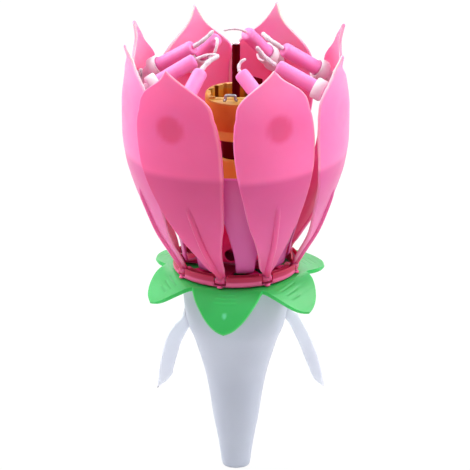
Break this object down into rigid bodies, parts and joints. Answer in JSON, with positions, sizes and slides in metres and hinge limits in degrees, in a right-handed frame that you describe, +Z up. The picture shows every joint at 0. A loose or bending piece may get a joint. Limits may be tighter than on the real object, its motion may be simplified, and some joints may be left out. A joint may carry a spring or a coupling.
{
  "type": "musical birthday candle",
  "caption": "Musical birthday candle shaped like a pink lotus bud on a frosted stem, with small candles on sprung petals round an orange pod and fuse",
  "frame": {"origin": "centre of the stem's flat foot", "axes": "+Z up along the stem to the petals' tips, -Y to the front leaf's side, +X to the viewer's right in the picture"},
  "size_m": [0.0653, 0.0676, 0.132],
  "materials": {
    "frosted_plastic": "translucent frosted",
    "white_plastic": "satin",
    "steel": "drawn",
    "brass": "rolled",
    "board": "phenolic board",
    "epoxy": "glob top",
    "green_plastic": "satin, slightly translucent",
    "rose_plastic": "satin, translucent",
    "crimson_plastic": "satin",
    "lilac_plastic": "satin, translucent",
    "orange_plastic": "satin",
    "maroon_plastic": "matte",
    "pink_plastic": "satin, translucent",
    "pink_wax": "waxy",
    "wick_fibre": "waxed cotton"
  },
  "bodies": {
    "stem_body": {"stem": "frosted_plastic", "base_housing": "white_plastic", "button_cell_left": "steel", "button_cell_right": "steel", "battery_clip": "brass", "circuit_board": "board", "music_chip": "epoxy", "switch_leaf": "brass", "opening_spring": "steel", "calyx": "green_plastic", "petal_ring": "rose_plastic", "hinge_wire": "steel", "inner_crown": "lilac_plastic", "music_drum": "crimson_plastic", "piezo_disc": "brass", "lower_pod": "orange_plastic", "neck_tube": "maroon_plastic", "seed_pod": "orange_plastic", "fuse_stick": "maroon_plastic", "fuse_tip": "steel", "fuse_staple": "steel", "ignition_bead": "maroon_plastic"},
    "lift": {"lift_spider": "crimson_plastic"},
    "petal_body_1": {"petal_1": "pink_plastic", "candle_holder_1": "white_plastic", "mini_candle_1": "pink_wax", "wick_1": "wick_fibre"},
    "petal_body_2": {"petal_2": "pink_plastic", "candle_holder_2": "white_plastic", "mini_candle_2": "pink_wax", "wick_2": "wick_fibre"},
    "petal_body_3": {"petal_3": "pink_plastic", "candle_holder_3": "white_plastic", "mini_candle_3": "pink_wax", "wick_3": "wick_fibre"},
    "petal_body_4": {"petal_4": "pink_plastic", "candle_holder_4": "white_plastic", "mini_candle_4": "pink_wax", "wick_4": "wick_fibre"},
    "petal_body_5": {"petal_5": "pink_plastic", "candle_holder_5": "white_plastic", "mini_candle_5": "pink_wax", "wick_5": "wick_fibre"},
    "petal_body_6": {"petal_6": "pink_plastic", "candle_holder_6": "white_plastic", "mini_candle_6": "pink_wax", "wick_6": "wick_fibre"},
    "petal_body_7": {"petal_7": "pink_plastic", "candle_holder_7": "white_plastic", "mini_candle_7": "pink_wax", "wick_7": "wick_fibre"},
    "petal_body_8": {"petal_8": "pink_plastic", "candle_holder_8": "white_plastic", "mini_candle_8": "pink_wax", "wick_8": "wick_fibre"}
  },
  "joints": [
    {"name": "petal_1_hinge", "type": "hinge", "parent": "stem_body", "child": "petal_body_1", "pos_m": [-0.00445, -0.01661, 0.0636], "axis": [0.9659, -0.2588, 0], "range_deg": [0, 72]},
    {"name": "petal_2_hinge", "type": "hinge", "parent": "stem_body", "child": "petal_body_2", "pos_m": [0.0086, -0.0149, 0.0636], "axis": [0.866, 0.5, 0], "range_deg": [0, 72]},
    {"name": "petal_3_hinge", "type": "hinge", "parent": "stem_body", "child": "petal_body_3", "pos_m": [0.01661, -0.00445, 0.0636], "axis": [0.2588, 0.9659, 0], "range_deg": [0, 72]},
    {"name": "petal_4_hinge", "type": "hinge", "parent": "stem_body", "child": "petal_body_4", "pos_m": [0.0149, 0.0086, 0.0636], "axis": [-0.5, 0.866, 0], "range_deg": [0, 72]},
    {"name": "petal_5_hinge", "type": "hinge", "parent": "stem_body", "child": "petal_body_5", "pos_m": [0.00445, 0.01661, 0.0636], "axis": [-0.9659, 0.2588, 0], "range_deg": [0, 72]},
    {"name": "petal_6_hinge", "type": "hinge", "parent": "stem_body", "child": "petal_body_6", "pos_m": [-0.0086, 0.0149, 0.0636], "axis": [-0.866, -0.5, 0], "range_deg": [0, 72]},
    {"name": "petal_7_hinge", "type": "hinge", "parent": "stem_body", "child": "petal_body_7", "pos_m": [-0.01661, 0.00445, 0.0636], "axis": [-0.2588, -0.9659, 0], "range_deg": [0, 72]},
    {"name": "petal_8_hinge", "type": "hinge", "parent": "stem_body", "child": "petal_body_8", "pos_m": [-0.0149, -0.0086, 0.0636], "axis": [0.5, -0.866, 0], "range_deg": [0, 72]},
    {"name": "lift_slide", "type": "slide", "parent": "stem_body", "child": "lift", "axis": [0, 0, 1], "range_m": [0, 0.0024], "deforming": ["opening_spring"]}
  ],
  "couplings": [
    {"joint": "petal_2_hinge", "follows": "petal_1_hinge", "ratio": 1},
    {"joint": "petal_3_hinge", "follows": "petal_1_hinge", "ratio": 1},
    {"joint": "petal_4_hinge", "follows": "petal_1_hinge", "ratio": 1},
    {"joint": "petal_5_hinge", "follows": "petal_1_hinge", "ratio": 1},
    {"joint": "petal_6_hinge", "follows": "petal_1_hinge", "ratio": 1},
    {"joint": "petal_7_hinge", "follows": "petal_1_hinge", "ratio": 1},
    {"joint": "petal_8_hinge", "follows": "petal_1_hinge", "ratio": 1},
    {"joint": "lift_slide", "follows": "petal_1_hinge", "m_per_rad": 0.0019098}
  ]
}
